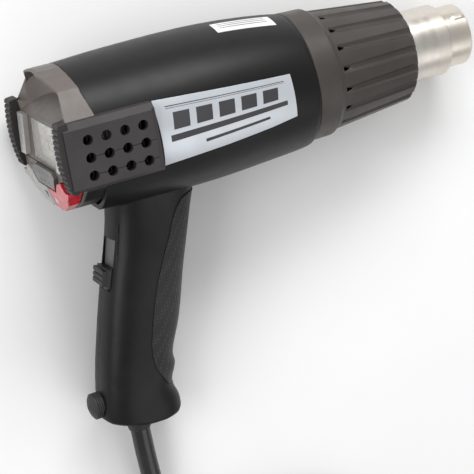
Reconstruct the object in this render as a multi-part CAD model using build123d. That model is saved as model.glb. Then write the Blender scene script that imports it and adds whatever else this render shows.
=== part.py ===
from build123d import *
import math
import os

# Heat gun with rear display, slip-on outlet, clamshell body and mains cord.
# Modelling frame (gun frame): x forward along the barrel axis from the rear
# rest plane, y to the gun's left, z up, barrel axis at y = z = 0.  Every node is
# finally laid on its left side on a flat surface by REST (see the bottom).

# ---------------------------------------------------------------- dimensions
OUTLET_R = 17.0          # slip-on outlet outside radius (34 mm standard)
OUTLET_LEN = 13.5        # straight slip-on length
TUBE_R = 19.9            # heater tube outside radius
TUBE_WALL = 0.9
X_TIP = 253.0            # outlet face
X_STEP = 239.5           # step from heater tube to outlet
X_TUBE_BACK = 106.0      # rear end of the heater tube
X_SEAM_REAR = 23.3       # rear cover to housing seam
X_SEAM_FRONT = 147.0     # housing to sleeve seam
WALL = 2.6               # housing wall
HALF_W = 44.0            # half width over the intake panels
PANEL_X0, PANEL_X1 = 3.4, 52.6
PANEL_Z = 17.3
VENT_R = 2.7
VENT_PX, VENT_PZ = 9.85, 9.2
VENT_X, VENT_Z = 15.2, 8.3
# barrel sections: station x, radius, height of the section's centre
BARREL = [(15.0, 39.3, 0.0), (23.3, 39.7, 0.0), (50.0, 40.8, 0.0), (80.0, 41.2, 0.0), (105.0, 40.5, 0.0),
          (123.0, 39.2, -0.2), (136.0, 38.0, -0.6), (144.6, 36.9, -0.9), (146.2, 36.5, -0.9), (147.0, 35.6, -0.9)]
# handle stations: height z, rear x, front x, half width, corner squareness
HANDLE = [(-20.0, 33.0, 84.5, 20.0), (-38.0, 32.6, 80.3, 16.8), (-52.0, 30.4, 75.4, 15.9),
          (-70.0, 25.5, 69.8, 16.0), (-93.0, 18.8, 63.0, 16.3), (-112.0, 13.9, 57.2, 16.5),
          (-130.0, 9.7, 51.4, 16.5), (-139.0, 8.1, 49.2, 16.5), (-144.5, 7.1, 48.4, 16.5),
          (-148.5, 6.4, 49.8, 16.5), (-152.0, 5.9, 51.0, 16.5), (-157.5, 5.2, 51.4, 16.5), (-166.0, 4.2, 50.6, 16.5)]
HAND_DIR = (0.2419, 0.0, 0.9703)      # up along the handle (14 degrees rake)
GRIP_PROUD = 0.5
GRIP_DEPTH = 1.9
SLEEVE_FLANGE_R = 35.5
SLEEVE_RIB_R0, SLEEVE_RIB_R1 = 33.2, 28.2
X_RIB0, X_RIB1 = 163.0, 212.0
N_GROOVE = 18
KEY_TRAVEL = 0.8
SWITCH_TRAVEL = 14.0
CORD_D = 11.0
GAP = 0.35

os.makedirs("parts", exist_ok=True)
NODES = {}


# ------------------------------------------------------------------- helpers
def rev(pts):
    """Closed (x, r) outline turned about the barrel axis."""
    return revolve(make_face(Polyline(*[(x, r, 0) for x, r in pts], close=True)), Axis.X, 360)


def rev_spline(pts, r_in=0.0):
    """Solid of revolution with a smooth outer line through (x, r) points."""
    top = Spline(*[(x, r, 0) for x, r in pts])
    x0, x1 = pts[0][0], pts[-1][0]
    low = Polyline((x1, pts[-1][1], 0), (x1, r_in, 0), (x0, r_in, 0), (x0, pts[0][1], 0))
    return revolve(make_face([top, low]), Axis.X, 360)


def cyl(x0, x1, r):
    return Plane(origin=(x0, 0, 0), x_dir=(0, 1, 0), z_dir=(1, 0, 0)) * Cylinder(
        r, x1 - x0, align=(Align.CENTER, Align.CENTER, Align.MIN))


def rod(p, q, r):
    p, q = Vector(*p), Vector(*q)
    d = q - p
    return Plane(origin=p, z_dir=d.normalized()) * Cylinder(
        r, d.length, align=(Align.CENTER, Align.CENTER, Align.MIN))


def box(x0, x1, y0, y1, z0, z1):
    return Pos((x0 + x1) / 2, (y0 + y1) / 2, (z0 + z1) / 2) * Box(x1 - x0, y1 - y0, z1 - z0)


def prism_y(pts, y0, y1):
    """(x, z) outline extruded along y."""
    f = make_face(Polyline(*[(x, y0, z) for x, z in pts], close=True))
    return extrude(f, amount=y1 - y0, dir=(0, 1, 0))


def prism_x(pts, x0, x1):
    """(y, z) outline extruded along x."""
    f = make_face(Polyline(*[(x0, y, z) for y, z in pts], close=True))
    return extrude(f, amount=x1 - x0, dir=(1, 0, 0))


def prism_curve_y(pts, y0, y1):
    f = make_face(Spline(*[(x, y0, z) for x, z in pts], periodic=True))
    return extrude(f, amount=y1 - y0, dir=(0, 1, 0))


def superloop(z, x0, x1, w, off=0.0, n=2.7, count=24):
    """Rounded closed outline of the handle at height z, offset outwards by off."""
    cx, a, b = (x0 + x1) / 2, (x1 - x0) / 2 + off, w + off
    pts = []
    for i in range(count):
        t = 2 * math.pi * i / count
        c, s = math.cos(t), math.sin(t)
        pts.append((cx + a * math.copysign(abs(c) ** (2 / n), c),
                    b * math.copysign(abs(s) ** (2 / n), s), z))
    return make_face(Spline(*pts, periodic=True))


def handle_solid(off=0.0, z_low=-166.0, z_high=-20.0):
    rows = [r for r in HANDLE if z_low <= r[0] <= z_high]
    return loft([superloop(z, x0, x1, w, off) for z, x0, x1, w in rows])


def mirror_y(shape):
    return mirror(shape, about=Plane.XZ)


def keep(name, shape):
    NODES[name] = shape


# ------------------------------------------------------------- body envelopes
def ring(x, r, zc):
    return Plane(origin=(x, 0, zc), x_dir=(0, 1, 0), z_dir=(1, 0, 0)) * Circle(r)


def barrel(off):
    main = loft([ring(x, r + off, zc) for x, r, zc in BARREL[:-2]])
    lip = loft([ring(x, r + off, zc) for x, r, zc in BARREL[-3:]], ruled=True)
    return main + lip


barrel_full = barrel(0.0)
# rear edge of the black housing: upright at the sides, leaning back over the top
SEAM = [(-10, -60), (23.3, -60), (23.3, 15.0), (20.8, 33.0), (19.2, 41.0), (19.0, 60), (-10, 60)]
seam_zone = prism_y(SEAM, -60, 60)
flat_under = prism_y([(5, -36.0), (34.5, -37.2), (34.5, -60), (5, -60)], -60, 60)
barrel_out = barrel_full - seam_zone - flat_under
barrel_in = loft([ring(x, r - WALL, zc) for x, r, zc in
                  [(10.0, 39.0, 0.0)] + BARREL[1:-2] + [(148.0, 36.4, -0.9)]])
barrel_in = barrel_in - prism_y([(5, -33.4), (34.5, -34.6), (34.5, -60), (5, -60)], -60, 60)
hand_out = handle_solid(0.0)
hand_in = handle_solid(-3.4)
hand_mid = handle_solid(-GRIP_DEPTH)
hand_grip = handle_solid(GRIP_PROUD)

# foot of the handle: the forward lip is in the stations, the underside slopes
FOOT_OUT = [(-20, -120), (110, -120), (110, -10), (-20, -10)]
foot_cut = prism_y([(-20, -146), (4.9, -153.2), (9.5, -156.3), (17.0, -158.6), (28.0, -161.0), (38.0, -161.6),
                    (46.0, -161.2), (49.6, -159.0), (60.0, -150.0), (60, -200), (-20, -200)], -40, 40)
hand_full = hand_out - foot_cut
foot_edges = [e for e in hand_full.edges() if e.center().Z < -150.0]
for r_try in (2.4, 1.6, 1.0):
    try:
        hand_full = fillet(foot_edges, r_try)
        print("foot fillet", r_try)
        break
    except Exception:
        pass
body_out = barrel_out + hand_full
foot_in = prism_y([(-20, -143), (4.9, -150.2), (9.5, -153.2), (17.0, -155.6), (28.0, -158.0), (38.0, -158.6),
                   (46.0, -158.2), (60.0, -148.0), (60, -200), (-20, -200)], -40, 40)
body_in = barrel_in + (hand_in - foot_in)

# ------------------------------------------------------------------ soft grip
GRIP_OUT = [(79.5, -41.5), (73.5, -41.6), (68.4, -43.2), (64.4, -47.4), (60.6, -54.5), (57.6, -61.5),
            (53.8, -69.0), (50.4, -76.0), (46.6, -84.6), (43.5, -93.5), (40.8, -102.0), (38.8, -109.5),
            (37.0, -117.0), (36.4, -123.0), (37.0, -129.0), (38.4, -133.0), (41.0, -138.0),
            (43.4, -142.0), (47.5, -144.6), (60.0, -145.0), (90.0, -120.0), (100.0, -60.0), (92.0, -42.0)]
grip_zone = prism_y(GRIP_OUT, -30, 30)
grip = ((hand_grip & grip_zone) - hand_mid) - barrel_out
# shallow finger ridges across the front of the grip
for i in range(8):
    s = i / 7.0
    zz = -58.0 - 78.0 * s
    xf = 73.6 - 24.4 * s
    grip -= Plane(origin=(xf + 2.6, 0, zz), x_dir=(1, 0, 0), z_dir=(0, 1, 0)) * Cylinder(2.7, 22)
grip = max(grip.solids(), key=lambda s: s.volume)
body_shell = body_out - body_in - (grip_zone & (hand_out - hand_mid))

# ------------------------------------------------------- rear cover (taupe cap)
cap_half = [(0, 39.5), (7, 38.9), (14.0, 36.9), (20.0, 34.1), (25.2, 30.8), (38.4, 17.2), (38.4, -14.2),
            (33.8, -20.6), (26.2, -27.0), (15.8, -32.4), (0, -35.0)]
cap_outline = cap_half + [(-y, z) for y, z in cap_half[-2:0:-1]]
cap_block = prism_x(cap_outline, 1.0, X_SEAM_REAR) & seam_zone
# side view of the cap: everything behind this line is removed
cap_side = prism_y([(30, 45), (30, -45), (10.6, -45), (9.6, -38.0), (6.8, -33.4), (4.2, -22.0),
                    (4.2, -11.6), (6.4, 13.0), (5.4, 20.0), (4.9, 32.0), (5.8, 37.6), (8.4, 40.4),
                    (9.0, 45)], -45, 45)
cap = cap_block & cap_side
# plan view of the hood's rear edge: proudest in the middle, set back at the creases
hood = [(-9, -50), (6.9, -50), (6.9, -38.4), (10.2, -25.2), (7.4, -17.0), (5.6, -9.0), (4.9, 0),
        (5.6, 9.0), (7.4, 17.0), (10.2, 25.2), (6.9, 38.4), (6.9, 50), (-9, 50)]
hood_cut = extrude(make_face(Polyline(*[(x, y, 17.8) for x, y in hood], close=True)), amount=30, dir=(0, 0, 1))
cap = cap - hood_cut
# scooped recess under the top rim, with a sloping ledge below it
rec_half = [(0, 38.3), (6.8, 37.7), (13.5, 35.8), (19.3, 33.1), (24.4, 29.9), (36.2, 17.6), (36.2, 14.0)]
rec_outline = rec_half + [(-y, z) for y, z in rec_half[-1:0:-1]]
rec = prism_x(rec_outline, 0.0, 20.0)
scoop = Pos(-25.5, 0, 25) * Cylinder(44.5, 60)
scoop = scoop & prism_y([(-10, 13.4), (6.0, 13.4), (19.5, 24.5), (19.5, 60), (-10, 60)], -40, 40)
cap = cap - (rec & scoop)
# display pocket between the side cheeks
cap = cap - box(0, 9.3, -33.2, 33.2, -11.4, 12.9)
# hollow inside
cap_in_half = [(0, 36.8), (13.2, 34.3), (23.6, 28.6), (35.8, 16.2), (35.8, -13.0), (31.4, -18.6),
               (24.6, -24.6), (14.8, -29.8), (0, -32.2)]
cap_in = prism_x(cap_in_half + [(-y, z) for y, z in cap_in_half[-2:0:-1]], 13.4, 30.0)
cap_in = cap_in & prism_y([(13.4, -40), (30, -40), (30, 40), (22.6, 40), (22.6, 26.0), (13.4, 12.6)], -45, 45)
cap = cap - cap_in
# the cap's floor runs on under the rear of the body to the handle
belly = prism_y([(14.0, -27.0), (31.0, -27.0), (31.0, -37.0), (14.0, -37.0)], -24, 24)
belly = belly & prism_x(cap_outline, 2.0, 40.0)
belly = belly - barrel_out - hand_out - cap_in
cap = cap + belly

# ---------------------------------------------------------------------- keys
KEY_FACE = [(2.5, -9.0), (2.0, -16.0), (2.9, -22.5), (6.2, -34.4), (7.2, -40), (30, -40), (30, -9.0)]
key_env = prism_y(KEY_FACE, -45, 45)
prog_yz = [(-13.6, -11.6), (13.6, -11.6), (17.0, -14.0), (12.8, -21.2), (-12.8, -21.2), (-17.0, -14.0)]
up_yz = [(-0.6, -22.1), (-14.0, -22.1), (-20.0, -16.2), (-26.4, -14.6), (-30.6, -18.6), (-44.0, -18.6),
         (-44.0, -34.0), (-6.5, -44.0), (-6.5, -33.0), (-0.6, -33.0)]
dn_yz = [(-y, z) for y, z in up_yz]


def key(outline):
    return prism_x(outline, 0.0, 10.0) & key_env & prism_x(cap_outline, 0.0, 10.0)


def grown(outline, d):
    f = make_face(Polyline(*[(0, y, z) for y, z in outline], close=True))
    g = offset(f, amount=d, kind=Kind.INTERSECTION)
    return extrude(g, amount=11.0, dir=(1, 0, 0))


key_prog, key_up, key_down = key(prog_yz), key(up_yz), key(dn_yz)
for o in (prog_yz, up_yz, dn_yz):
    cap = cap - grown(o, GAP)
cap = max(cap.solids(), key=lambda s: s.volume)

# --------------------------------------------------------- display and boards
FACE = [(4.6, -11.2), (6.5, 12.8), (9.2, 12.8), (9.2, -11.2)]     # leaning display face
bezel = prism_y(FACE, -33.0, 33.0) - box(0, 12, -18.4, 18.4, -9.9, 11.4)
rails = []
for s in (-1, 1):
    bar = prism_x([(s * 22.8, 12.6), (s * 32.2, 12.6), (s * 32.4, -9.0), (s * 24.4, -9.0)], 0.0, 7.0)
    bar = bar & prism_y([(1.9, -11.2), (3.8, 12.8), (7.4, 12.8), (6.0, -11.2)], -40, 40)
    rails.append(bar)
    bezel = bezel - bar
lcd_window = prism_y([(5.0, -9.9), (6.7, 11.4), (7.9, 11.4), (6.4, -9.9)], -18.3, 18.3)
lcd_module = box(9.6, 12.6, -19.0, 19.0, -11.0, 12.2)
cap = cap - box(9.2, 14.2, -19.2, 19.2, -11.2, 12.4)
control_board = box(15.0, 16.6, -28.0, 28.0, -23.0, 10.0)
control_board += box(16.6, 20.0, -20.0, -6.0, -8.0, 6.0) + box(16.6, 18.6, 4.0, 22.0, -20.0, -6.0)
control_board += box(13.6, 15.0, -18.0, 18.0, -10.0, 8.0)
cap = cap - box(13.0, 15.2, -18.4, 18.4, -10.4, 8.4)

# -------------------------------------------------------------------- bumpers
def bumper(sgn):
    outer = []
    n = 13
    for i in range(n):
        for t, dx in ((0.0, 0.9), (0.22, 0.0), (0.78, 0.0), (1.0, 0.9)):
            z = 18.6 - 36.2 * (i + t) / n
            u = (z + 2.0) / 19.0
            bow = 2.1 * u * u if z > -2 else 2.6 * u * u
            p = (-0.9 + 0.05 * (18.6 - z) + bow + dx, z)
            if not outer or abs(outer[-1][1] - p[1]) > 1e-6:
                outer.append(p)
    pts = outer + [(6.4, -17.8), (6.4, 18.9)]
    b = prism_y(pts, 34.4, 43.2)
    return b if sgn > 0 else mirror_y(b)


bump_l = bumper(1)
bump_r = mirror_y(bump_l)
bump_cut = prism_y([(-3, 19.0), (6.4, 19.0), (6.4, -17.9), (-3, -17.9)], 34.3, 46.0)
for s in (bump_cut, mirror_y(bump_cut)):
    cap = cap - s
cap = max(cap.solids(), key=lambda s: s.volume)

# -------------------------------------------------------------- intake panels
def panel():
    p = prism_x([(-HALF_W, 14.8), (-HALF_W, -15.4), (-41.0, -17.6), (-30.0, -18.0), (-30.0, 18.2),
                 (-40.4, 17.8)], PANEL_X0, PANEL_X1)
    front = prism_y([(0, -30), (54.0, -30), (54.0, -17.0), (52.2, 17.2), (52.2, 30), (0, 30)], -60, 0)
    p = p & front
    lip = box(50.6, 60, -60, -HALF_W + 0.9, -30, 30)
    p = p - rotate_lip(lip)
    p = p - barrel_full - cap_block_side - bump_side
    for row in range(3):
        for col in range(4):
            p -= Plane(origin=(VENT_X + col * VENT_PX, -30, VENT_Z - row * VENT_PZ),
                       z_dir=(0, -1, 0)) * Cylinder(VENT_R, 60)
    for row in (1, 2):
        z = VENT_Z - row * VENT_PZ + 0.4
        p -= box(VENT_X, 60, -HALF_W - 1, -HALF_W + 0.5, z - 0.4, z + 0.4)
    return max(p.solids(), key=lambda s: s.volume)


def rotate_lip(b):
    return b


cap_block_side = prism_x(cap_outline, 1.0, X_SEAM_REAR)
bump_side = box(-5, 6.4, -43.2, -30, -25, 25)
panel_r = panel()
panel_l = mirror_y(panel_r)
# intake windows cut through the housing and the cap behind the panels
win = box(13.0, 49.5, -45, -30, -13.6, 11.6)
for w in (win, mirror_y(win)):
    body_shell = body_shell - w
    cap = cap - (w & box(13.4, 60, -60, 60, -60, 60))
cap = max(cap.solids(), key=lambda s: s.volume)
mesh_r = box(13.6, 48.9, -37.4, -36.6, -13.0, 11.0)
slots = [box(15.0 + 2.4 * i, 16.4 + 2.4 * i, -40, -36, -12.0, 10.0) for i in range(14)]
for s in slots:
    mesh_r -= s
mesh_l = mirror_y(mesh_r)

# --------------------------------------------------------- slide switch group
U = Vector(*HAND_DIR)
NRM = Vector(-0.9703, 0, 0.2419)


def handle_rear_x(z):
    rows = HANDLE
    for (z1, a1, _, _), (z2, a2, _, _) in zip(rows, rows[1:]):
        if z2 <= z <= z1:
            return a1 + (a2 - a1) * (z - z1) / (z2 - z1)
    return rows[-1][1]


SW_ORG = Vector(handle_rear_x(-77.5), 0, -77.5)      # knob centre on the rear face
sw = Plane(origin=SW_ORG, x_dir=(0, 1, 0), z_dir=NRM)  # local x = y, local y = along handle, z = out
along = sw.y_dir
SGN = 1.0 if along.dot(U) > 0 else -1.0


def swbox(y0, y1, s0, s1, n0, n1):
    """Box in switch axes: y across, s up along the handle, n outwards."""
    a, b = (s0, s1) if SGN > 0 else (-s1, -s0)
    return sw * (Pos((y0 + y1) / 2, (a + b) / 2, (n0 + n1) / 2) * Box(y1 - y0, b - a, n1 - n0))


body_shell = body_shell - swbox(-8.2, 8.2, -6.4, 21.0, -5.0, 6.0)
body_shell = body_shell - swbox(-10.2, 10.2, -30.0, 45.0, -5.3, -3.2)
knob = swbox(-7.8, 7.8, -5.6, 5.2, -2.9, 1.0) + swbox(-7.2, 7.2, -3.9, 4.4, 1.0, 3.4)
knob -= swbox(-9, 9, -1.6, -0.8, 2.8, 5.0) + swbox(-9, 9, 1.2, 2.0, 2.8, 5.0)
knob = knob + swbox(-2.5, 2.5, -4.0, 4.0, -9.0, -2.9)
shutter = swbox(-9.6, 9.6, -24.5, 26.5, -4.6, -3.4) - swbox(-2.5, 2.5, -4.0, 4.0, -10, 0)
switch_body = swbox(-7.0, 7.0, -14.0, 22.0, -18.0, -6.4) - swbox(-2.9, 2.9, -5.0, 19.2, -9.6, 0)
switch_body += swbox(-8.6, -7.0, -2, 6, -17, -9) + swbox(7.0, 8.6, -2, 6, -17, -9)

# ------------------------------------------------------------------ heel foot
heel = cyl(3.2, 9.6, 7.2)
for i in range(3):
    g = cyl(4.3 + 1.2 * i, 4.8 + 1.2 * i, 9.0) - cyl(4.2 + 1.2 * i, 4.9 + 1.2 * i, 6.7)
    heel -= g
heel = Pos(0, 0, -147.2) * heel
heel_hole = Pos(0, 0, -147.2) * cyl(-4.0, 9.6, 7.2)
body_shell = (body_shell + (Pos(0, 0, -147.2) * cyl(7.0, 11.6, 9.2) & body_out)) - heel_hole

# ----------------------------------------------------------- split the housing
# screw posts: left half holds the heads, right half the threaded posts
POSTS = [(34.0, 30.5), (98.0, 35.0), (138.0, 31.0), (98.0, -35.0), (56.2, -50.5), (21.0, -112.0),
         (43.6, -152.0), (14.4, -153.6)]
posts_r = None
heads = None
for i, (px, pz) in enumerate(POSTS):
    ymax = 13.0 if pz < -40 else 16.0
    if i == 2:
        ymax = 12.0
    post = Plane(origin=(px, 0, pz), z_dir=(0, -1, 0)) * Cylinder(3.4, ymax, align=(Align.CENTER, Align.CENTER, Align.MIN))
    post2 = Plane(origin=(px, 0, pz), z_dir=(0, 1, 0)) * Cylinder(3.4, 40, align=(Align.CENTER, Align.CENTER, Align.MIN))
    body_shell = body_shell + ((post + post2) & body_out)

PLUG_HOLE = rod((27.0, 0, -150), (27.0, 0, -175), 8.05)
body_shell = body_shell - PLUG_HOLE
right_zone = box(-50, 300, -80, 0, -250, 80)
left_zone = box(-50, 300, 0, 80, -250, 80)
screws = None
for i, (px, pz) in enumerate(POSTS):
    # surface height of the left shell at the post
    if pz < -40:
        seat = 10.4
    else:
        r = 40.2 if px < 120 else 36.6
        seat = math.sqrt(max(r * r - pz * pz, 30.0)) - 5.0
    shank_low = -9.0 if pz < -40 else -9.0
    body_shell = body_shell - rod((px, shank_low, pz), (px, seat + 0.01, pz), 1.55)
    body_shell = body_shell - rod((px, seat, pz), (px, 60, pz), 3.05)
    s = rod((px, shank_low, pz), (px, seat, pz), 1.5) + rod((px, seat, pz), (px, seat + 2.2, pz), 2.9)
    s -= rod((px, seat + 1.2, pz), (px, seat + 3, pz), 1.2)
    screws = s if screws is None else screws + s
housing_r = body_shell & right_zone
housing_l = body_shell & left_zone
housing_r = max(housing_r.solids(), key=lambda s: s.volume)
housing_l = max(housing_l.solids(), key=lambda s: s.volume)

# ----------------------------------------------------------- sleeve and outlet
def sleeve():
    out = [(X_SEAM_FRONT, SLEEVE_FLANGE_R - 0.8), (X_SEAM_FRONT + 0.9, SLEEVE_FLANGE_R),
           (X_RIB0 - 2.6, SLEEVE_FLANGE_R - 0.3), (X_RIB0 - 0.6, SLEEVE_RIB_R0 + 0.2), (X_RIB0, SLEEVE_RIB_R0),
           (X_RIB1 - 1.4, SLEEVE_RIB_R1 + 0.2), (X_RIB1, SLEEVE_RIB_R1 - 1.3)]
    inn = [(X_RIB1, 24.2), (X_RIB1 - 3.0, 24.2), (X_RIB0, 32.6), (X_SEAM_FRONT, 33.6)]
    s = rev(out + inn)
    for i in range(N_GROOVE):
        a = 2 * math.pi * (i + 0.5) / N_GROOVE
        slope = (SLEEVE_RIB_R1 - SLEEVE_RIB_R0) / (X_RIB1 - X_RIB0)
        x1, x2 = X_RIB0 + 1.5, X_RIB1 + 6
        r1 = SLEEVE_RIB_R0 + slope * (x1 - X_RIB0) + 1.9
        r2 = SLEEVE_RIB_R0 + slope * (x2 - X_RIB0) + 0.9
        s -= rod((x1, r1 * math.cos(a), r1 * math.sin(a)), (x2, r2 * math.cos(a), r2 * math.sin(a)), 2.8)
    # front web that carries the sleeve clear of the tube
    s += rev([(150.0, 33.9), (152.4, 33.6), (152.4, 22.6), (150.0, 22.6)])
    web_slots = None
    for i in range(12):
        a = 2 * math.pi * i / 12
        s -= rod((149, 28 * math.cos(a), 28 * math.sin(a)), (154, 28 * math.cos(a), 28 * math.sin(a)), 3.0)
    return s


sleeve_s = sleeve()
tube = rev([(X_TUBE_BACK, TUBE_R), (X_STEP - 1.6, TUBE_R), (X_STEP, OUTLET_R), (X_TIP - 0.5, OUTLET_R),
            (X_TIP, OUTLET_R - 0.3), (X_TIP, OUTLET_R - TUBE_WALL), (X_STEP + 0.5, OUTLET_R - TUBE_WALL),
            (X_STEP - 1.9, TUBE_R - TUBE_WALL), (X_TUBE_BACK, TUBE_R - TUBE_WALL)])
tube += rev([(X_TUBE_BACK, TUBE_R + 5), (X_TUBE_BACK + 1.2, TUBE_R + 5), (X_TUBE_BACK + 1.2, TUBE_R - 0.4),
             (X_TUBE_BACK, TUBE_R - 0.4)])
heater_base = rev([(104.0, 36.9), (106.0, 36.9), (106.0, 12.0), (98.0, 12.0), (98.0, 16.0), (104.0, 16.0)])
mica = rev([(107.5, 18.0), (236.0, 18.0), (236.0, 17.5), (107.5, 17.5)])

# ceramic former: a cross of ribs round a core, and two heater windings on it
former = cyl(106.2, 228.0, 4.0)
for k in range(6):
    a = math.pi * k / 6
    blade = box(112.0, 222.0, -15.2, 15.2, -1.1, 1.1)
    former += Rot(math.degrees(a), 0, 0) * blade
for k in range(5):
    xk = 124.0 + 21.0 * k
    former -= rev([(xk, 12.4), (xk + 12.0, 12.4), (xk + 12.0, 16.0), (xk, 16.0)])
coil = None
for k in range(5):
    xk = 125.0 + 21.0 * k
    for j in range(4):
        turn = rev([(xk + 2.6 * j, 14.6), (xk + 2.6 * j + 0.9, 14.6), (xk + 2.6 * j + 0.9, 12.5), (xk + 2.6 * j, 12.5)])
        coil = turn if coil is None else coil + turn
for k in range(2):
    a = math.radians(15 + 180 * k)
    coil += rod((114, 13.6 * math.cos(a), 13.6 * math.sin(a)), (222, 13.6 * math.cos(a), 13.6 * math.sin(a)), 0.7)
thermo = rod((106.2, 0, -16.9), (232.0, 0, -16.9), 0.45) + rod((229.0, 0, -16.2), (233.0, 0, -16.2), 0.9)
former -= rod((106, 0, -16.9), (234, 0, -16.9), 0.9)

# ---------------------------------------------------------------- fan and motor
motor_can = rev([(30.0, 15.6), (31.0, 17.0), (62.0, 17.0), (64.0, 15.0), (64.0, 3.1), (30.0, 3.1)])
motor_can = motor_can - rev([(32.0, 14.6), (61.6, 14.6), (61.6, 8.6), (32.0, 8.6)])
motor_can -= rev([(28.0, 8.6), (62.0, 8.6), (62.0, 0.0), (28.0, 0.0)]) - rev([(28.0, 8.6), (33.0, 8.6), (33.0, 4.2), (28.0, 4.2)])
armature = rev([(36.0, 8.2), (60.4, 8.2), (60.4, 1.5), (36.0, 1.5)])
shaft = cyl(28.4, 80.0, 1.5)
bushes = rev([(29.6, 4.2), (33.0, 4.2), (33.0, 1.56), (29.6, 1.56)]) + rev([(62.0, 4.4), (66.0, 4.4), (66.0, 1.56), (62.0, 1.56)])
motor_can -= rev([(61.5, 4.4), (66.5, 4.4), (66.5, 0.0), (61.5, 0.0)])
hub = rev([(68.0, 9.0), (70.0, 10.0), (84.0, 10.0), (84.0, 8.0), (80.6, 8.0), (80.6, 1.5), (68.0, 1.5)])
impeller = hub + rev([(69.0, 29.5), (70.2, 29.5), (70.2, 9.0), (69.0, 9.0)])
for k in range(12):
    blade = box(70.0, 83.0, 9.6, 28.8, -0.6, 0.6)
    blade = Pos(0, 0, 0) * (Rot(0, 0, 0) * blade)
    impeller += Rot(30 * k, 0, 0) * blade
motor_mount = rev([(66.6, 38.1), (68.6, 38.1), (68.6, 33.2), (92.0, 33.2), (92.0, 31.4), (66.6, 31.4)])
motor_mount += rev([(44.0, 19.2), (56.0, 19.2), (56.0, 17.0), (44.0, 17.0)])
for k in range(3):
    motor_mount += Rot(120 * k + 90, 0, 0) * box(50.0, 56.0, -1.2, 1.2, 18.0, 32.9)
    motor_mount += Rot(120 * k + 90, 0, 0) * box(55.0, 67.6, -1.2, 1.2, 30.6, 32.9)
motor_mount -= box(60, 100, -6.2, 6.2, -45, -20)

# --------------------------------------------------------- boards in the handle
power_board = box(37.0, 38.6, -10.5, 10.5, -128.0, -96.0)
power_board += box(38.6, 44.0, -8.0, 1.0, -112.0, -99.0) + box(38.6, 43.0, -8.0, 8.0, -126.0, -115.0)
power_board += box(38.6, 43.4, 3.4, 8.2, -110.0, -100.0)

# ------------------------------------------------------- cord entry and cord
gland = rod((27.0, 0, -146.0), (27.0, 0, -161.6), 8.0) - rod((27.0, 0, -145.0), (27.0, 0, -168.0), CORD_D / 2)
gland = gland - (body_shell & box(0, 60, -30, 30, -200, -140))
gland += Pos(27.0, 0, -161.0) * Rot(180, 0, 0) * Cone(7.7, 6.1, 6.2, align=(Align.CENTER, Align.CENTER, Align.MIN))
gland -= rod((27.0, 0, -145.0), (27.0, 0, -168.0), CORD_D / 2)
gland = max(gland.solids(), key=lambda s: s.volume)
clamp = box(17.6, 37.8, 5.6, 8.4, -142.0, -136.0)
clamp_base = box(17.6, 37.8, -11.4, -5.6, -142.0, -136.0)
clamp_screws = rod((20.2, -10.4, -139.0), (20.2, 8.4, -139.0), 1.3) + rod((20.2, 8.4, -139.0), (20.2, 10.0, -139.0), 2.4)
clamp_screws += rod((35.2, -10.4, -139.0), (35.2, 8.4, -139.0), 1.3) + rod((35.2, 8.4, -139.0), (35.2, 10.0, -139.0), 2.4)
for s in (rod((20.2, -10.45, -139.0), (20.2, 20, -139.0), 1.32), rod((35.2, -10.45, -139.0), (35.2, 20, -139.0), 1.32)):
    clamp = clamp - s
    clamp_base = clamp_base - s


def tube_path(points, radii, r):
    path = FilletPolyline(*points, radius=radii) if radii else Polyline(*points)
    start = Plane(origin=path @ 0, z_dir=path % 0)
    return sweep(start * Circle(r), path=path)


# leads: mains pair to the switch, motor pair, heater pair
mains_leads = tube_path([(27.4, 2.6, -132.0), (28.4, 2.6, -118.0), (34.0, 2.6, -102.0)], [6.0], 1.4)
mains_leads += tube_path([(27.4, -2.6, -132.0), (28.4, -2.6, -118.0), (34.0, -2.6, -102.0)], [6.0], 1.4)
mains_leads += rod((27.0, 0, -161.6), (27.0, 0, -131.0), CORD_D / 2)
motor_leads = tube_path([(47.0, 9.6, -64.0), (50.0, 9.6, -46.0), (47.0, 9.6, -18.0)], [9.0], 1.1)
motor_leads += tube_path([(47.0, -9.6, -64.0), (50.0, -9.6, -46.0), (47.0, -9.6, -18.0)], [9.0], 1.1)
heater_leads = tube_path([(62.0, 4.0, -64.0), (64.0, 4.0, -36.0), (90.0, 4.0, -28.0), (102.6, 4.0, -20.0)], [10.0, 8.0], 1.3)
heater_leads += tube_path([(62.0, -4.0, -64.0), (64.0, -4.0, -36.0), (90.0, -4.0, -28.0), (102.6, -4.0, -20.0)], [10.0, 8.0], 1.3)

# ------------------------------------------------------------------- labels
skin_a = barrel(0.25) - barrel_full
lab_zone = prism_y([(53.4, 17.4), (131.0, 12.2), (131.4, -10.4), (116.0, -12.4), (90.0, -14.6), (54.8, -16.8)], -60, 0)
side_label = skin_a & lab_zone
side_label = max(side_label.solids(), key=lambda s: s.volume)
top_zone = box(104.0, 137.4, -15.4, -5.0, 15, 45)
top_label = skin_a & top_zone
top_label = max(top_label.solids(), key=lambda s: s.volume)

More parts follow.
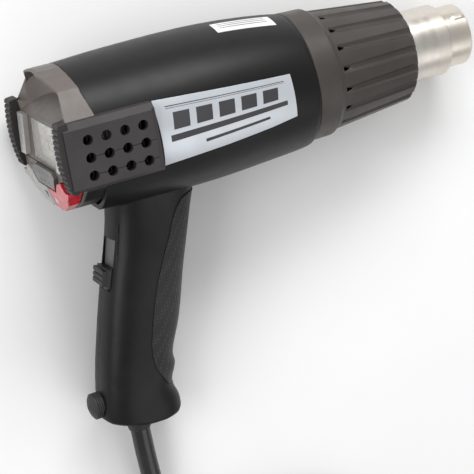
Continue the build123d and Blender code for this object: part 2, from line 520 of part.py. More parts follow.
for n, s in (("housing_right", housing_r), ("housing_left", housing_l), ("rear_cover", cap),
             ("display_bezel", bezel), ("display_rail_right", rails[0]), ("display_rail_left", rails[1]), ("lcd_window", lcd_window), ("lcd_module", lcd_module),
             ("control_board", control_board), ("key_program", key_prog), ("key_up", key_up),
             ("key_down", key_down), ("bumper_right", bump_r), ("bumper_left", bump_l),
             ("vent_panel_right", panel_r), ("vent_panel_left", panel_l), ("intake_mesh_right", mesh_r),
             ("intake_mesh_left", mesh_l), ("switch_knob", knob), ("switch_shutter", shutter),
             ("switch_body", switch_body), ("soft_grip", grip), ("heel_foot", heel),
             ("protective_sleeve", sleeve_s), ("outlet_nozzle", tube), ("heater_base", heater_base),
             ("mica_tube", mica), ("heater_former", former), ("heater_coil", coil),
             ("thermocouple", thermo), ("motor_can", motor_can), ("motor_armature", armature),
             ("motor_shaft", shaft), ("motor_bushes", bushes), ("impeller", impeller),
             ("motor_mount", motor_mount), ("power_board", power_board), ("cord_gland", gland),
             ("clamp_bar", clamp), ("clamp_base", clamp_base), ("clamp_screws", clamp_screws),
             ("mains_leads", mains_leads), ("motor_leads", motor_leads), ("heater_leads", heater_leads),
             ("housing_screws", screws), ("side_label", side_label), ("top_label", top_label)):
    keep(n, s)

# Resting pose: on its left side, touching at the left intake panel, the front
# of the body and the foot of the handle.  Columns are the images of gun x and z.
REST = Plane(origin=(-124.098, 61.927, 50.824), x_dir=(0.995336, 0.0, -0.09647),
             z_dir=(0.018805, 0.980817, 0.194021)).location

# ------------------------------------------------------------ cord (row frame)
# free run: leaves the handle, comes down to the table, straightens into the coil
COIL_C = (-28.0, -240.0)           # centre of the wound coil
COIL_R = (46.5, 57.5, 68.5)        # turn radii, one cord diameter apart
COIL_Z0, COIL_Z1 = 0.6, 22.8       # two layers, lifted by the tie strap
exit_p = REST * Pos(27.0, 0, -161.6)
CORD_PTS = [tuple(exit_p.position), (-100.87, -127.96, 10.66), (-96.5, -164.5, 6.2), (-96.5, -200.0, 6.2)]
TAIL_PTS = [(18.81, -304.67, 17.2), (32.76, -303.45, 17.2), (52.43, -301.73, 14.0), (66.40, -300.90, 14.0)]


def turn_radii(points):
    # largest comfortable bend radius at each inner corner
    out = []
    for a, b, c in zip(points, points[1:], points[2:]):
        u, v = Vector(*b) - Vector(*a), Vector(*c) - Vector(*b)
        half = math.radians(u.get_angle(v)) / 2
        out.append(0.45 * min(u.length, v.length) / math.tan(half))
    return out


def cord_run(points):
    radii = turn_radii(points)
    path = FilletPolyline(*points, radius=radii)
    tube = sweep(Plane(origin=path @ 0, z_dir=path % 0) * Circle(CORD_D / 2), path=path)
    want = math.pi * (CORD_D / 2) ** 2 * path.length
    print("cord run length", round(path.length, 1), "radii", [round(r, 1) for r in radii],
          "volume / section x length", round(tube.volume / want, 4))
    return tube


power_cord = cord_run(CORD_PTS)
cord_tail = cord_run(TAIL_PTS)
cx, cy = COIL_C
wound = Pos(cx, cy, COIL_Z0) * Cylinder(COIL_R[2] + 5.7, COIL_Z1 - COIL_Z0, align=(Align.CENTER, Align.CENTER, Align.MIN))
wound -= Pos(cx, cy, COIL_Z0 - 1) * Cylinder(COIL_R[0] - 5.7, COIL_Z1 - COIL_Z0 + 2, align=(Align.CENTER, Align.CENTER, Align.MIN))
wound += rod(CORD_PTS[-1], (cx - COIL_R[2], cy + 4, 6.2), CORD_D / 2)
ta = math.radians(275.0)
tail_from = (cx + COIL_R[2] * math.cos(ta), cy + COIL_R[2] * math.sin(ta), 17.2)
wound += rod(tail_from, TAIL_PTS[0], CORD_D / 2)
tie = box(39.9, 75.1, -5.0, 5.0, 0.0, 23.5) - box(41.2, 73.8, -6.0, 6.0, 0.7, 22.7)
tie += box(74.9, 77.0, -3.2, 3.2, 8.0, 14.5)
tie = Pos(cx, cy, 0) * (Rot(0, 0, 118) * tie)
tie = tie - wound

# plug: ribbed boot, body with finger grips, flat blades and a round earth pin
tail_dir = (Vector(*TAIL_PTS[-1]) - Vector(*TAIL_PTS[-2])).normalized()
plug_pl = Plane(origin=TAIL_PTS[-1], x_dir=tail_dir, z_dir=(0, 0, 1))


def pbox(x0, x1, y0, y1, z0, z1):
    return plug_pl * (Pos((x0 + x1) / 2, (y0 + y1) / 2, (z0 + z1) / 2) * Box(x1 - x0, y1 - y0, z1 - z0))


def prev(pts):
    # closed (x, r) outline turned about the plug axis
    f = make_face(Polyline(*[(x, r, 0) for x, r in pts], close=True))
    return plug_pl * revolve(f, Axis.X, 360)


boot_line = [(0.0, 0.0), (0.0, 7.4)]
for i in range(5):
    x0 = 0.8 + 3.9 * i
    boot_line += [(x0, 7.4 + 0.35 * i), (x0 + 2.3, 7.7 + 0.35 * i), (x0 + 2.5, 6.5 + 0.35 * i), (x0 + 3.7, 6.6 + 0.35 * i)]
boot_line += [(20.0, 9.4), (20.0, 0.0)]
plug_boot = prev(boot_line)


def plug_section(x, hw, hh):
    return plug_pl * (Pos(x, 0, 0) * (Rot(0, 90, 0) * RectangleRounded(2 * hh, 2 * hw, min(hh, hw) * 0.62)))


plug_body = loft([plug_section(x, hw, hh) for x, hw, hh in
                  ((20.0, 9.8, 9.6), (24.0, 11.6, 11.2), (32.0, 12.2, 11.0), (42.0, 11.6, 10.8), (49.0, 13.2, 13.1), (54.0, 13.6, 13.5))])
for i in range(4):
    plug_body -= pbox(30.0 + 3.4 * i, 31.6 + 3.4 * i, -7.0, 7.0, 10.1, 15.0)
    plug_body -= pbox(30.0 + 3.4 * i, 31.6 + 3.4 * i, -7.0, 7.0, -15.0, -10.1)
pins = pbox(54.0, 71.5, 5.6, 7.1, -1.0, 5.4) + pbox(54.0, 71.5, -7.1, -5.6, -1.0, 5.4)
pins += plug_pl * (Pos(54.0, 0, -7.0) * (Rot(0, 90, 0) * Cylinder(2.4, 17.0, align=(Align.CENTER, Align.CENTER, Align.MIN))))
pins += plug_pl * (Pos(71.0, 0, -7.0) * Sphere(2.4))
ROW_NODES = [("power_cord", power_cord), ("cord_coil", wound), ("cord_tie", tie), ("cord_tail", cord_tail),
             ("plug_boot", plug_boot), ("plug_body", plug_body), ("plug_pins", pins)]
for n, s in NODES.items():
    vol = s.volume
    ns = len(s.solids())
    print(f"{n:20s} solids {ns:3d} volume {vol:10.1f}", flush=True)
    export_step(REST * s, f"parts/{n}.step")
for n, s in ROW_NODES:
    print(f"{n:20s} solids {len(s.solids()):3d} volume {s.volume:10.1f}", flush=True)
    export_step(s, f"parts/{n}.step")
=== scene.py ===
import math

import bmesh
import bpy
from mathutils import Matrix, Vector
from mathutils.bvhtree import BVHTree


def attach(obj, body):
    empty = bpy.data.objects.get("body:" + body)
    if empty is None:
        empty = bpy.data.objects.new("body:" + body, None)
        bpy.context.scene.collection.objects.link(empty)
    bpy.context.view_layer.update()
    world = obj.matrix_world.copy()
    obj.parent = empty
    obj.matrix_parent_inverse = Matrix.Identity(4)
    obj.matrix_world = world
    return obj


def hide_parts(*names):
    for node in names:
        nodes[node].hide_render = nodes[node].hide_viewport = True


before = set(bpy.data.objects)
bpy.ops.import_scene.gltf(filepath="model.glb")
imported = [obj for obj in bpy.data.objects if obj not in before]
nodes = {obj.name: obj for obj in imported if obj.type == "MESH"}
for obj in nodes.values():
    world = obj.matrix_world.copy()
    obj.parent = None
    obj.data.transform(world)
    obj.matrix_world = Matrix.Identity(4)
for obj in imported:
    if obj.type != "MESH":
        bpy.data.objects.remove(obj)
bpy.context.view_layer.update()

# ------------------------------------------------------------------ gun frame
# x forward along the barrel, y to the gun's left, z up, millimetres
A = Matrix(((0.995336, -0.09462, 0.018805), (0.0, 0.19493, 0.980817), (-0.09647, -0.976243, 0.194021)))
T = Vector((-124.098, 61.927, 50.824))


def G(x, y, z):
    """Gun-frame millimetres to row-frame metres."""
    return (A @ Vector((x, y, z)) + T) / 1000


def GD(x, y, z):
    return (A @ Vector((x, y, z))).normalized()


AXIS = GD(1, 0, 0)
UP = GD(0, 0, 1)
ORG = G(0, 0, 0)

# --------------------------------------------------------------------- camera
cam_data = bpy.data.cameras.new("camera")
cam_data.sensor_width = 36
cam_data.lens = 129.114
cam_data.clip_start = 0.05
cam_data.clip_end = 20
camera = bpy.data.objects.new("camera", cam_data)
bpy.context.scene.collection.objects.link(camera)
camera.matrix_world = Matrix(((0.926832, 0.266262, -0.264739, -0.269335),
                              (-0.23539, 0.961353, 0.1428, 0.117421),
                              (0.29253, -0.070034, 0.953688, 0.909057),
                              (0, 0, 0, 1)))
bpy.context.scene.camera = camera


# ------------------------------------------------------------------ materials
def new_mat(name):
    m = bpy.data.materials.new(name)
    m.use_nodes = True
    nt = m.node_tree
    nt.nodes.clear()
    out = nt.nodes.new("ShaderNodeOutputMaterial")
    b = nt.nodes.new("ShaderNodeBsdfPrincipled")
    nt.links.new(b.outputs["BSDF"], out.inputs["Surface"])
    tc = nt.nodes.new("ShaderNodeTexCoord")
    return m, nt, b, tc.outputs["Object"]


def noise(nt, vec, scale, detail=3.0, rough=0.55, dist=0.0):
    n = nt.nodes.new("ShaderNodeTexNoise")
    n.inputs["Scale"].default_value = scale
    n.inputs["Detail"].default_value = detail
    n.inputs["Roughness"].default_value = rough
    n.inputs["Distortion"].default_value = dist
    nt.links.new(vec, n.inputs["Vector"])
    return n.outputs["Fac"]


def ramp(nt, fac, lo, hi, c0, c1):
    r = nt.nodes.new("ShaderNodeValToRGB")
    r.color_ramp.elements[0].position = lo
    r.color_ramp.elements[1].position = hi
    r.color_ramp.elements[0].color = (*c0, 1)
    r.color_ramp.elements[1].color = (*c1, 1)
    nt.links.new(fac, r.inputs["Fac"])
    return r.outputs["Color"]


def maprange(nt, fac, a, b, c, d):
    r = nt.nodes.new("ShaderNodeMapRange")
    for i, v in enumerate((a, b, c, d)):
        r.inputs[i + 1].default_value = v
    nt.links.new(fac, r.inputs[0])
    return r.outputs[0]


def mixcol(nt, fac, a, b, mode="MIX"):
    m = nt.nodes.new("ShaderNodeMix")
    m.data_type = "RGBA"
    m.blend_type = mode
    if isinstance(fac, float):
        m.inputs[0].default_value = fac
    else:
        nt.links.new(fac, m.inputs[0])
    for sock, v in ((m.inputs[6], a), (m.inputs[7], b)):
        if isinstance(v, tuple):
            sock.default_value = (*v, 1)
        else:
            nt.links.new(v, sock)
    return m.outputs[2]


def bump(nt, height, strength, dist, normal=None):
    b = nt.nodes.new("ShaderNodeBump")
    b.inputs["Strength"].default_value = strength
    b.inputs["Distance"].default_value = dist
    nt.links.new(height, b.inputs["Height"])
    if normal is not None:
        nt.links.new(normal, b.inputs["Normal"])
    return b.outputs["Normal"]


def bevel(nt, radius):
    b = nt.nodes.new("ShaderNodeBevel")
    b.samples = 6
    b.inputs["Radius"].default_value = radius
    return b.outputs["Normal"]


def edge_mask(nt, radius):
    """1 along convex and concave edges, from how far the rounded normal leaves the true one."""
    bn = bevel(nt, radius)
    g = nt.nodes.new("ShaderNodeNewGeometry")
    d = nt.nodes.new("ShaderNodeVectorMath")
    d.operation = "DOT_PRODUCT"
    nt.links.new(bn, d.inputs[0])
    nt.links.new(g.outputs["Normal"], d.inputs[1])
    return maprange(nt, d.outputs["Value"], 0.995, 0.86, 0.0, 1.0), bn


def moulded(name, base, rough=0.5, grain=2600.0, grain_bump=0.25, wear=0.35, edge=0.0005, coat=0.0, spec=0.36,
            worn=None, sheen=0.0, vary=0.07):
    """Moulded plastic or rubber: spark-eroded grain, faint cloudiness, rubbed edges."""
    m, nt, b, v = new_mat(name)
    cloud = noise(nt, v, 28.0, 4.0)
    fine = noise(nt, v, grain, 2.0, 0.6)
    dark = tuple(c * 0.82 for c in base)
    light = tuple(min(1.0, c * 1.18 + 0.004) for c in base)
    col = ramp(nt, cloud, 0.3, 0.7, dark, light)
    mask, bn = edge_mask(nt, edge)
    scuff = noise(nt, v, 420.0, 3.0)
    rub = nt.nodes.new("ShaderNodeMath")
    rub.operation = "MULTIPLY"
    nt.links.new(mask, rub.inputs[0])
    nt.links.new(maprange(nt, scuff, 0.35, 0.65, 0.15, wear), rub.inputs[1])
    worn = worn or tuple(min(1.0, c * 2.2 + 0.03) for c in base)
    nt.links.new(mixcol(nt, rub.outputs[0], col, worn), b.inputs["Base Color"])
    nt.links.new(maprange(nt, noise(nt, v, 140.0, 5.0), 0.3, 0.7, rough - vary, rough + vary), b.inputs["Roughness"])
    nt.links.new(bump(nt, fine, grain_bump, 0.00006, bn), b.inputs["Normal"])
    b.inputs["Specular IOR Level"].default_value = spec
    if coat:
        b.inputs["Coat Weight"].default_value = coat
        b.inputs["Coat Roughness"].default_value = 0.18
    if sheen:
        b.inputs["Sheen Weight"].default_value = sheen
        b.inputs["Sheen Roughness"].default_value = 0.5
    return m


def turned_steel(name, base=(0.62, 0.59, 0.55), tint=None, rough=0.28):
    """Stainless tube brushed round its axis, heat tinted towards the outlet."""
    m, nt, b, v = new_mat(name)
    sub = nt.nodes.new("ShaderNodeVectorMath")
    sub.operation = "SUBTRACT"
    sub.inputs[1].default_value = ORG
    nt.links.new(v, sub.inputs[0])
    dot = nt.nodes.new("ShaderNodeVectorMath")
    dot.operation = "DOT_PRODUCT"
    dot.inputs[1].default_value = AXIS
    nt.links.new(sub.outputs[0], dot.inputs[0])
    along = dot.outputs["Value"]
    sc = nt.nodes.new("ShaderNodeVectorMath")
    sc.operation = "SCALE"
    sc.inputs["Scale"].default_value = 0.02
    nt.links.new(v, sc.inputs[0])
    comb = nt.nodes.new("ShaderNodeCombineXYZ")
    nt.links.new(along, comb.inputs[0])
    add = nt.nodes.new("ShaderNodeVectorMath")
    add.operation = "ADD"
    nt.links.new(comb.outputs[0], add.inputs[0])
    nt.links.new(sc.outputs[0], add.inputs[1])
    lines = noise(nt, add.outputs[0], 3200.0, 4.0, 0.7)
    broad = noise(nt, add.outputs[0], 260.0, 3.0, 0.5)
    cloud = noise(nt, v, 55.0, 3.0)
    c = ramp(nt, lines, 0.25, 0.75, tuple(x * 0.80 for x in base), tuple(min(1, x * 1.12) for x in base))
    if tint:
        t = maprange(nt, along, 0.196, 0.262, 0.0, 1.0)
        tn = nt.nodes.new("ShaderNodeMath")
        tn.operation = "MULTIPLY"
        nt.links.new(t, tn.inputs[0])
        nt.links.new(maprange(nt, cloud, 0.2, 0.8, 0.35, 0.9), tn.inputs[1])
        c = mixcol(nt, tn.outputs[0], c, tint)
    nt.links.new(c, b.inputs["Base Color"])
    b.inputs["Metallic"].default_value = 1.0
    nt.links.new(maprange(nt, broad, 0.3, 0.7, rough - 0.05, rough + 0.1), b.inputs["Roughness"])
    nt.links.new(bump(nt, lines, 0.22, 0.00004, bevel(nt, 0.0003)), b.inputs["Normal"])
    return m


def metal(name, base, rough=0.35, grain=1500.0):
    m, nt, b, v = new_mat(name)
    f = noise(nt, v, grain, 3.0)
    nt.links.new(ramp(nt, f, 0.3, 0.7, tuple(x * 0.85 for x in base), tuple(min(1, x * 1.1) for x in base)), b.inputs["Base Color"])
    b.inputs["Metallic"].default_value = 1.0
    nt.links.new(maprange(nt, noise(nt, v, 120.0, 3.0), 0.3, 0.7, rough - 0.06, rough + 0.08), b.inputs["Roughness"])
    nt.links.new(bump(nt, f, 0.1, 0.00003, bevel(nt, 0.0003)), b.inputs["Normal"])
    return m


BLACK = moulded("body_black", (0.0026, 0.0027, 0.0029), 0.40, 2200.0, 0.22, 0.20, 0.0007, spec=0.26, worn=(0.014, 0.014, 0.015), vary=0.025)
COVER = moulded("cover_taupe", (0.115, 0.098, 0.088), 0.42, 2200.0, 0.28, 0.30, 0.0006, spec=0.45)
BEZEL = moulded("bezel_taupe", (0.10, 0.086, 0.078), 0.40, 2200.0, 0.22, 0.30, 0.0005)
PANEL = moulded("panel_brown", (0.036, 0.031, 0.033), 0.46, 2400.0, 0.30, 0.35, 0.0005)
SLEEVE = moulded("sleeve_taupe", (0.050, 0.043, 0.038), 0.44, 2000.0, 0.30, 0.35, 0.0006)
GRIP = moulded("grip_soft", (0.0145, 0.0145, 0.0145), 0.68, 1700.0, 0.45, 0.18, 0.0006, spec=0.3, sheen=0.15)
BUMPER = moulded("bumper_rubber", (0.024, 0.0205, 0.020), 0.62, 1900.0, 0.45, 0.25, 0.0005, spec=0.35)
FOOT = moulded("foot_rubber", (0.030, 0.030, 0.030), 0.55, 1900.0, 0.35, 0.3, 0.0005)
KNOB = moulded("knob_black", (0.013, 0.0125, 0.012), 0.38, 2400.0, 0.25, 0.35, 0.0005)
SHUT = moulded("shutter_grey", (0.10, 0.10, 0.102), 0.42, 2400.0, 0.2, 0.2, 0.0003)
INNER = moulded("inner_black", (0.02, 0.02, 0.02), 0.6, 1500.0, 0.2, 0.1, 0.0004)
KEYD = moulded("key_dark", (0.085, 0.082, 0.080), 0.34, 2600.0, 0.15, 0.2, 0.0005, coat=0.2)
KEYR = moulded("key_red", (0.50, 0.012, 0.028), 0.26, 2600.0, 0.10, 0.2, 0.0007, coat=0.4, worn=(0.75, 0.06, 0.08))
KEYL = moulded("key_light", (0.27, 0.265, 0.26), 0.30, 2600.0, 0.10, 0.2, 0.0007, coat=0.4)
PILLAR = moulded("pillar_light", (0.30, 0.295, 0.285), 0.28, 2600.0, 0.08, 0.2, 0.0004, coat=0.4)
CORD = moulded("cord_black", (0.0075, 0.0075, 0.008), 0.27, 900.0, 0.12, 0.0, 0.0002, spec=0.55)
PLUG = moulded("plug_black", (0.022, 0.022, 0.022), 0.42, 1500.0, 0.3, 0.25, 0.0005)
RUBBER = moulded("rubber_black", (0.020, 0.020, 0.020), 0.5, 1500.0, 0.3, 0.2, 0.0004)
TIE = moulded("tie_fabric", (0.03, 0.03, 0.03), 0.85, 1400.0, 1.0, 0.1, 0.0003, spec=0.2, sheen=0.4)
STEEL = turned_steel("outlet_steel", (0.66, 0.635, 0.605), (0.72, 0.64, 0.53), 0.30)
PLAIN = turned_steel("plain_steel", (0.55, 0.54, 0.52), None, 0.32)
BRASS = metal("brass", (0.72, 0.56, 0.27), 0.3)
CAN = metal("zinc_can", (0.55, 0.55, 0.56), 0.4)
MESH = metal("wire_mesh", (0.10, 0.10, 0.10), 0.55)
SCREW = metal("screw_black", (0.06, 0.06, 0.06), 0.42)
WIRE = metal("heater_wire", (0.35, 0.31, 0.28), 0.5)
BOARD = moulded("board_green", (0.02, 0.14, 0.06), 0.45, 900.0, 0.2, 0.2, 0.0003)
CERAM = moulded("ceramic", (0.62, 0.58, 0.52), 0.7, 1800.0, 0.35, 0.3, 0.0004)
MICA = moulded("mica", (0.42, 0.36, 0.24), 0.4, 700.0, 0.2, 0.2, 0.0003, coat=0.3)
LEAD = moulded("lead_red", (0.35, 0.04, 0.035), 0.45, 900.0, 0.1, 0.0, 0.0002)
LCD = moulded("lcd_grey", (0.43, 0.41, 0.36), 0.30, 2600.0, 0.03, 0.05, 0.0002, coat=0.6)
INK = moulded("ink_dark", (0.045, 0.045, 0.05), 0.5, 2600.0, 0.05, 0.0, 0.0001)
INKL = moulded("ink_light", (0.60, 0.60, 0.60), 0.5, 2600.0, 0.05, 0.0, 0.0001)
SEAM = moulded("seam_shadow", (0.006, 0.006, 0.006), 0.7, 900.0, 0.05, 0.0, 0.0001)
SCORE = moulded("score_line", (0.13, 0.12, 0.125), 0.5, 900.0, 0.05, 0.0, 0.0001)


def label_foil(name, base, rough):
    m, nt, b, v = new_mat(name)
    f = noise(nt, v, 1800.0, 2.0)
    nt.links.new(ramp(nt, noise(nt, v, 18.0, 2.0), 0.3, 0.7, tuple(x * 0.93 for x in base), tuple(min(1, x * 1.05) for x in base)),
                 b.inputs["Base Color"])
    b.inputs["Metallic"].default_value = 0.35
    nt.links.new(maprange(nt, noise(nt, v, 90.0, 4.0), 0.3, 0.7, rough - 0.05, rough + 0.07), b.inputs["Roughness"])
    nt.links.new(bump(nt, f, 0.08, 0.00003, bevel(nt, 0.0002)), b.inputs["Normal"])
    return m


FOIL = label_foil("label_silver", (0.56, 0.59, 0.63), 0.34)
FILM = moulded("label_white", (0.72, 0.72, 0.71), 0.38, 2400.0, 0.05, 0.1, 0.0002)

m, nt, b, v = new_mat("display_glass")
b.inputs["Base Color"].default_value = (0.93, 0.92, 0.88, 1)
b.inputs["Roughness"].default_value = 0.06
b.inputs["Alpha"].default_value = 0.22
b.inputs["IOR"].default_value = 1.46
nt.links.new(bump(nt, noise(nt, v, 160.0, 2.0), 0.02, 0.00002), b.inputs["Normal"])
GLASS = m

# painted shade: the cover's underside, ahead of the keys, is mixed to near-black where it falls in shadow
nt = COVER.node_tree
b = next(n for n in nt.nodes if n.type == "BSDF_PRINCIPLED")
tc = next(n for n in nt.nodes if n.type == "TEX_COORD")


def along_axis(nt, src, axis, origin):
    sub = nt.nodes.new("ShaderNodeVectorMath")
    sub.operation = "SUBTRACT"
    sub.inputs[1].default_value = origin
    nt.links.new(src, sub.inputs[0])
    dot = nt.nodes.new("ShaderNodeVectorMath")
    dot.operation = "DOT_PRODUCT"
    dot.inputs[1].default_value = axis
    nt.links.new(sub.outputs[0], dot.inputs[0])
    return dot.outputs["Value"]


fx = maprange(nt, along_axis(nt, tc.outputs["Object"], AXIS, ORG), 0.0126, 0.0128, 0.0, 1.0)
fz = maprange(nt, along_axis(nt, tc.outputs["Object"], UP, ORG), -0.0178, -0.0176, 1.0, 0.0)
underside_shade = nt.nodes.new("ShaderNodeMath")
underside_shade.operation = "MULTIPLY"
nt.links.new(fx, underside_shade.inputs[0])
nt.links.new(fz, underside_shade.inputs[1])
base = b.inputs["Base Color"].links[0].from_socket
# painted shade: near-black mixed into the cover's colour under it, ahead of the keys
nt.links.new(mixcol(nt, underside_shade.outputs[0], base, (0.0035, 0.0036, 0.0038)), b.inputs["Base Color"])

# the grip's moulded dimples: a fine regular pattern under the grain, with a painted highlight lightening each dot's
# centre
nt = GRIP.node_tree
b = next(n for n in nt.nodes if n.type == "BSDF_PRINCIPLED")
tc = next(n for n in nt.nodes if n.type == "TEX_COORD")
dots = nt.nodes.new("ShaderNodeTexVoronoi")
dots.inputs["Scale"].default_value = 560.0
dots.inputs["Randomness"].default_value = 0.12
nt.links.new(tc.outputs["Object"], dots.inputs["Vector"])
prev = b.inputs["Normal"].links[0].from_socket
nt.links.new(bump(nt, maprange(nt, dots.outputs["Distance"], 0.12, 0.42, 1.0, 0.0), 0.55, 0.00022, prev), b.inputs["Normal"])
# painted highlight: the dot centres are mixed towards a lighter grey
base = b.inputs["Base Color"].links[0].from_socket
nt.links.new(mixcol(nt, maprange(nt, dots.outputs["Distance"], 0.1, 0.45, 0.55, 0.0), base, (0.062, 0.062, 0.061)), b.inputs["Base Color"])

MATS = {
    "housing_right": BLACK, "housing_left": BLACK, "rear_cover": COVER, "display_bezel": BEZEL, "display_rail_right": PILLAR, "display_rail_left": PILLAR, "lcd_window": GLASS,
    "lcd_module": LCD, "control_board": BOARD, "key_program": KEYD, "key_up": KEYR, "key_down": KEYL,
    "bumper_right": BUMPER, "bumper_left": BUMPER, "vent_panel_right": PANEL, "vent_panel_left": PANEL,
    "intake_mesh_right": MESH, "intake_mesh_left": MESH, "switch_knob": KNOB, "switch_shutter": SHUT,
    "switch_body": INNER, "soft_grip": GRIP, "heel_foot": FOOT, "protective_sleeve": SLEEVE, "outlet_nozzle": STEEL,
    "heater_base": PLAIN, "mica_tube": MICA, "heater_former": CERAM, "heater_coil": WIRE, "thermocouple": PLAIN,
    "motor_can": CAN, "motor_armature": CAN, "motor_shaft": PLAIN, "motor_bushes": BRASS, "impeller": INNER,
    "motor_mount": INNER, "power_board": BOARD, "cord_gland": RUBBER, "clamp_bar": INNER, "clamp_base": INNER,
    "clamp_screws": SCREW, "mains_leads": RUBBER, "motor_leads": LEAD, "heater_leads": LEAD, "housing_screws": SCREW,
    "side_label": FOIL, "top_label": FILM, "cord_tie": TIE, "plug_boot": RUBBER, "plug_body": PLUG, "plug_pins": BRASS,
}
for name, mat in MATS.items():
    o = nodes[name]
    for s in o.material_slots:
        s.material = mat


# --------------------------------------------------------------------- helpers
def add_mesh(name, verts, faces, mat, body="gun", smooth=False):
    me = bpy.data.meshes.new(name)
    me.from_pydata([tuple(v) for v in verts], [], faces)
    me.update()
    if smooth:
        me.shade_smooth()
    ob = bpy.data.objects.new(name, me)
    bpy.context.scene.collection.objects.link(ob)
    me.materials.append(mat)
    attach(ob, body)
    return ob


def tree(*names):
    vs, fs = [], []
    for n in names:
        o = nodes[n]
        k = len(vs)
        vs += [o.matrix_world @ v.co for v in o.data.vertices]
        fs += [[k + i for i in p.vertices] for p in o.data.polygons]
    return BVHTree.FromPolygons(vs, fs)


def drop(bvh, start, direction):
    """First point the ray meets and its normal, or None."""
    hit = bvh.ray_cast(start, direction)
    return None if hit[0] is None else (hit[0], hit[1])


def thread(name, pts, width, mat, body="gun", lift=0.00003, close=False):
    """A thin flat strip that follows surface points and normals."""
    verts, faces = [], []
    n = len(pts)
    for i, (p, nrm) in enumerate(pts):
        a = pts[max(0, i - 1)][0]
        c = pts[min(n - 1, i + 1)][0]
        d = (c - a).normalized()
        side = d.cross(nrm).normalized() * (width / 2)
        q = p + nrm * lift
        verts += [q - side, q + side]
    for i in range(n - 1):
        k = 2 * i
        faces.append((k, k + 1, k + 3, k + 2))
    return add_mesh(name, verts, faces, mat, body)


# ----------------------------------------------------------------------- cord
D = 0.011
route = [Vector(p) / 1000 for p in ((-100.27, -96.57, 16.87), (-100.87, -127.96, 10.66), (-96.5, -164.5, 6.2),
                                    (-96.5, -200.0, 6.2), (-96.7, -222.0, 6.3))]
cx, cy = -28.0, -240.0
STEP_DEG = 24
total = 1080 + 720 + 95
K = 1 / 0.978


def ease(t):
    t = max(0.0, min(1.0, t))
    return t * t * (3 - 2 * t)


a = 12.0
while a <= total + 0.1:
    # radius and height of the cord's centre at winding angle a
    lanes = [(0, 68.5), (360, 57.5), (720, 46.5), (1080, 46.5), (1440, 57.5), (1800, 68.5)]
    r = lanes[0][1]
    for (a0, r0), (a1, r1) in zip(lanes, lanes[1:]):
        if a >= a1 - 70:
            r = r0 + (r1 - r0) * ease((a - (a1 - 70)) / 70)
    z = 6.3 + 10.9 * ease((a - 1000) / 90)
    th = math.radians(180 + a)
    route.append(Vector((cx + K * r * math.cos(th), cy + K * r * math.sin(th), z)) / 1000)
    a += STEP_DEG
route += [Vector(p) / 1000 for p in ((-8.5, -307.3, 17.2), (18.81, -304.67, 17.2), (32.76, -303.45, 17.2),
                                     (52.43, -301.73, 14.0), (66.40, -300.90, 14.0))]
cu = bpy.data.curves.new("mains_cord", "CURVE")
cu.dimensions = "3D"
cu.bevel_depth = D / 2
cu.bevel_resolution = 7
cu.resolution_u = 8
sp = cu.splines.new("NURBS")
sp.points.add(len(route) - 1)
for p, q in zip(sp.points, route):
    p.co = (*q, 1)
sp.order_u = 3
sp.use_endpoint_u = True
sp.use_smooth = True
cord = bpy.data.objects.new("mains_cord", cu)
bpy.context.scene.collection.objects.link(cord)
cu.materials.append(CORD)
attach(cord, "gun")
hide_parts("power_cord", "cord_coil", "cord_tail")

# ------------------------------------------------------------------- details
body_tree = tree("housing_right", "housing_left")
# parting line along the crown of the body
line = []
for i in range(60):
    x = 21.0 + (146.2 - 21.0) * i / 59
    hit = drop(body_tree, G(x, 0.02, 60), -UP)
    if hit:
        line.append(hit)
thread("seam_crown", line, 0.00035, SEAM)
# parting line down the back of the handle
line = []
for i in range(50):
    z = -40.0 - 112.0 * i / 49
    if -101.0 < z < -50.0:
        continue
    hit = drop(body_tree, G(-40, 0.02, z), AXIS)
    if hit and z < -101.0:
        line.append(hit)
thread("seam_handle", line, 0.00035, SEAM)


# dark joint between the rear cover and the body
both_tree = tree("housing_right", "housing_left", "rear_cover")
line = []
for i in range(97):
    th = math.radians(-118 + 236 * i / 96)
    dy, dz = math.sin(th), math.cos(th)
    z = 40.0 * dz
    x = 23.3 if z < 15 else (23.3 - 2.5 * (z - 15) / 18 if z < 33 else 20.8 - 1.6 * (z - 33) / 8)
    hit = drop(both_tree, G(x + 0.1, 70 * dy, 70 * dz), -GD(0, dy, dz))
    if hit:
        line.append(hit)
thread("joint_rear", line, 0.0006, SEAM, lift=0.00005)

# ribbed dome on the heel foot
verts, faces = [], []
NR, NA = 36, 48
for j in range(NR + 1):
    r = 7.1 * j / NR
    x = 3.15 - 2.2 * (1 - (r / 7.2) ** 2) - 0.28 * (0.5 + 0.5 * math.cos(2 * math.pi * r / 1.42)) * (1 if r < 6.9 else 0)
    for i in range(NA):
        t = 2 * math.pi * i / NA
        verts.append(G(x, r * math.cos(t), -147.2 + r * math.sin(t)))
for j in range(NR):
    for i in range(NA):
        a0, a1 = j * NA + i, j * NA + (i + 1) % NA
        faces.append((a0, a1, a1 + NA, a0 + NA))
add_mesh("foot_dome", verts, faces, FOOT, smooth=True)


def on_label(node_tree, u, w, x0, x1, za, zb, zc, zd):
    """Point on the side plate: u 0..1 along the barrel, w 0..1 from lower to upper edge."""
    x = x0 + (x1 - x0) * u
    lo = za + (zb - za) * u
    hi = zc + (zd - zc) * u
    return drop(node_tree, G(x, -80, lo + (hi - lo) * w), GD(0, 1, 0))


label_tree = tree("side_label")


def patch(name, u0, u1, w0, w1, mat, nu=24, nw=3, skew=0.0):
    """A printed block laid on the side plate."""
    verts, faces = [], []
    for j in range(nw + 1):
        w = w0 + (w1 - w0) * j / nw
        for i in range(nu + 1):
            u = u0 + (u1 - u0) * i / nu + skew * (w - w0)
            hit = on_label(label_tree, u, w, 55.5, 130.0, -15.6, -9.4, 16.4, 11.4)
            if hit is None:
                return None
            verts.append(hit[0] + hit[1] * 0.00004)
    for j in range(nw):
        for i in range(nu):
            k = j * (nu + 1) + i
            faces.append((k, k + 1, k + nu + 2, k + nu + 1))
    return add_mesh(name, verts, faces, mat)


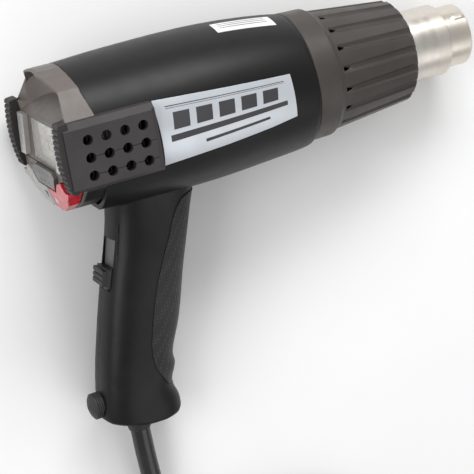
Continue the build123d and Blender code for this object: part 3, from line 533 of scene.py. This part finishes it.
# blank plate printing: a double rule, a dark band and three plain blocks
patch("plate_band", 0.05, 0.95, 0.33, 0.44, INK)
patch("plate_rule_top", 0.05, 0.95, 0.90, 0.915, INK, 30, 1)
patch("plate_rule_low", 0.05, 0.95, 0.87, 0.878, INK, 30, 1)
for i in range(5):
    patch("plate_block_%d" % i, 0.08 + 0.17 * i, 0.20 + 0.17 * i, 0.52, 0.80, INK, 8, 4, 0.05)
patch("plate_foot", 0.30, 0.80, 0.14, 0.20, INK, 20, 1)

# rules on the white film
film_tree = tree("top_label")
for k, y in enumerate((-7.2, -9.4, -11.6)):
    line = []
    for i in range(24):
        x = 107.0 + (134.0 - 107.0) * i / 23
        hit = drop(film_tree, G(x, y, 70), -UP)
        if hit:
            line.append(hit)
    if len(line) > 2:
        thread("film_rule_%d" % k, line, 0.0006, INK)

# spot-welded tab on the outlet
verts, faces = [], []
NU, NW = 10, 6
for j in range(NW + 1):
    for i in range(NU + 1):
        x = 244.2 + 8.4 * i / NU
        ang = math.atan2(12.3, -11.7) + (j / NW - 0.5) * 0.21
        edge = min(i, NU - i, 2) / 2 * min(j, NW - j, 1)
        r = 16.95 + 0.45 * edge
        verts.append(G(x, r * math.cos(ang), r * math.sin(ang)))
for j in range(NW):
    for i in range(NU):
        k = j * (NU + 1) + i
        faces.append((k, k + 1, k + NU + 2, k + NU + 1))
add_mesh("outlet_tab", verts, faces, STEEL, smooth=True)


# marks on the keys: up and down arrows and a program mark, each riding on its key
def mark(name, node, body, outline, mat):
    t = tree(node)
    pts = []
    for y, z in outline:
        hit = drop(t, G(-20, y, z), AXIS)
        if hit is None:
            return
        pts.append(hit[0] - AXIS * 0.00005)
    add_mesh(name, pts, [tuple(range(len(pts)))], mat, body)


mark("mark_up", "key_up", "up_key", [(-4.0, -29.6), (-9.4, -29.6), (-6.7, -25.6)], INKL)
mark("mark_down", "key_down", "down_key", [(4.0, -25.6), (9.4, -25.6), (6.7, -29.6)], INK)
for k, y in enumerate((-6.0, 0.0, 6.0)):
    mark("mark_program_%d" % k, "key_program", "program_key",
         [(y - 1.5, -14.2), (y + 1.5, -14.2), (y + 1.5, -18.6), (y - 1.5, -18.6)], INK)


# plain seven-segment readout on the display, under the window
def segment(name, y0, y1, z0, z1):
    t = tree("lcd_module")
    pts = []
    for y, z in ((y0, z0), (y1, z0), (y1, z1), (y0, z1)):
        hit = drop(t, G(-20, y, z), AXIS)
        pts.append(hit[0] - AXIS * 0.0001)
    add_mesh(name, pts, [(0, 1, 2, 3)], INK)


DIGITS = {"4": "bcfg", "5": "acdfg", "0": "abcdef"}
for k, ch in enumerate("450"):
    yl = 9.0 - 7.6 * k          # left side of the digit as the user sees it
    w, h, zb, th = 4.6, 9.0, -5.0, 0.75
    segs = {"a": (yl, yl - w, zb + h - th, zb + h), "d": (yl, yl - w, zb, zb + th),
            "g": (yl, yl - w, zb + h / 2 - th / 2, zb + h / 2 + th / 2),
            "f": (yl, yl - th, zb + h / 2, zb + h), "e": (yl, yl - th, zb, zb + h / 2),
            "b": (yl - w + th, yl - w, zb + h / 2, zb + h), "c": (yl - w + th, yl - w, zb, zb + h / 2)}
    for q in DIGITS[ch]:
        segment("readout_%d_%s" % (k, q), *segs[q])

# ---------------------------------------------------------------- floor, light
me = bpy.data.meshes.new("floor")
me.from_pydata([(-4, -4, 0), (4, -4, 0), (4, 4, 0), (-4, 4, 0)], [], [(0, 1, 2, 3)])
floor = bpy.data.objects.new("floor", me)
bpy.context.scene.collection.objects.link(floor)
fm, nt, b, v = new_mat("floor_pale")
nt.links.new(ramp(nt, noise(nt, v, 6.0, 3.0), 0.3, 0.7, (0.86, 0.86, 0.86), (0.89, 0.89, 0.89)), b.inputs["Base Color"])
b.inputs["Roughness"].default_value = 0.8
me.materials.append(fm)

world = bpy.data.worlds.new("world")
world.use_nodes = True
bg = world.node_tree.nodes["Background"]
bg.inputs["Color"].default_value = (1, 1, 1, 1)
bg.inputs["Strength"].default_value = 0.50
bpy.context.scene.world = world


def area(name, loc, target, size, power, size_y=None):
    l = bpy.data.lights.new(name, "AREA")
    l.shape = "RECTANGLE"
    l.size = size
    l.size_y = size_y or size
    l.energy = power
    o = bpy.data.objects.new(name, l)
    o.location = loc
    d = Vector(target) - Vector(loc)
    o.rotation_euler = d.to_track_quat("-Z", "Y").to_euler()
    bpy.context.scene.collection.objects.link(o)
    return o


area("key", (0.25, 1.05, 0.8), (0, 0, 0.03), 0.9, 12.0, 0.45)
area("front", (-1.0, 0.1, 0.8), (0, 0, 0.03), 0.7, 6.0)
area("low", (0.5, -1.0, 1.0), (0, 0, 0.03), 1.0, 4.0)
bpy.context.scene.view_settings.view_transform = "Standard"
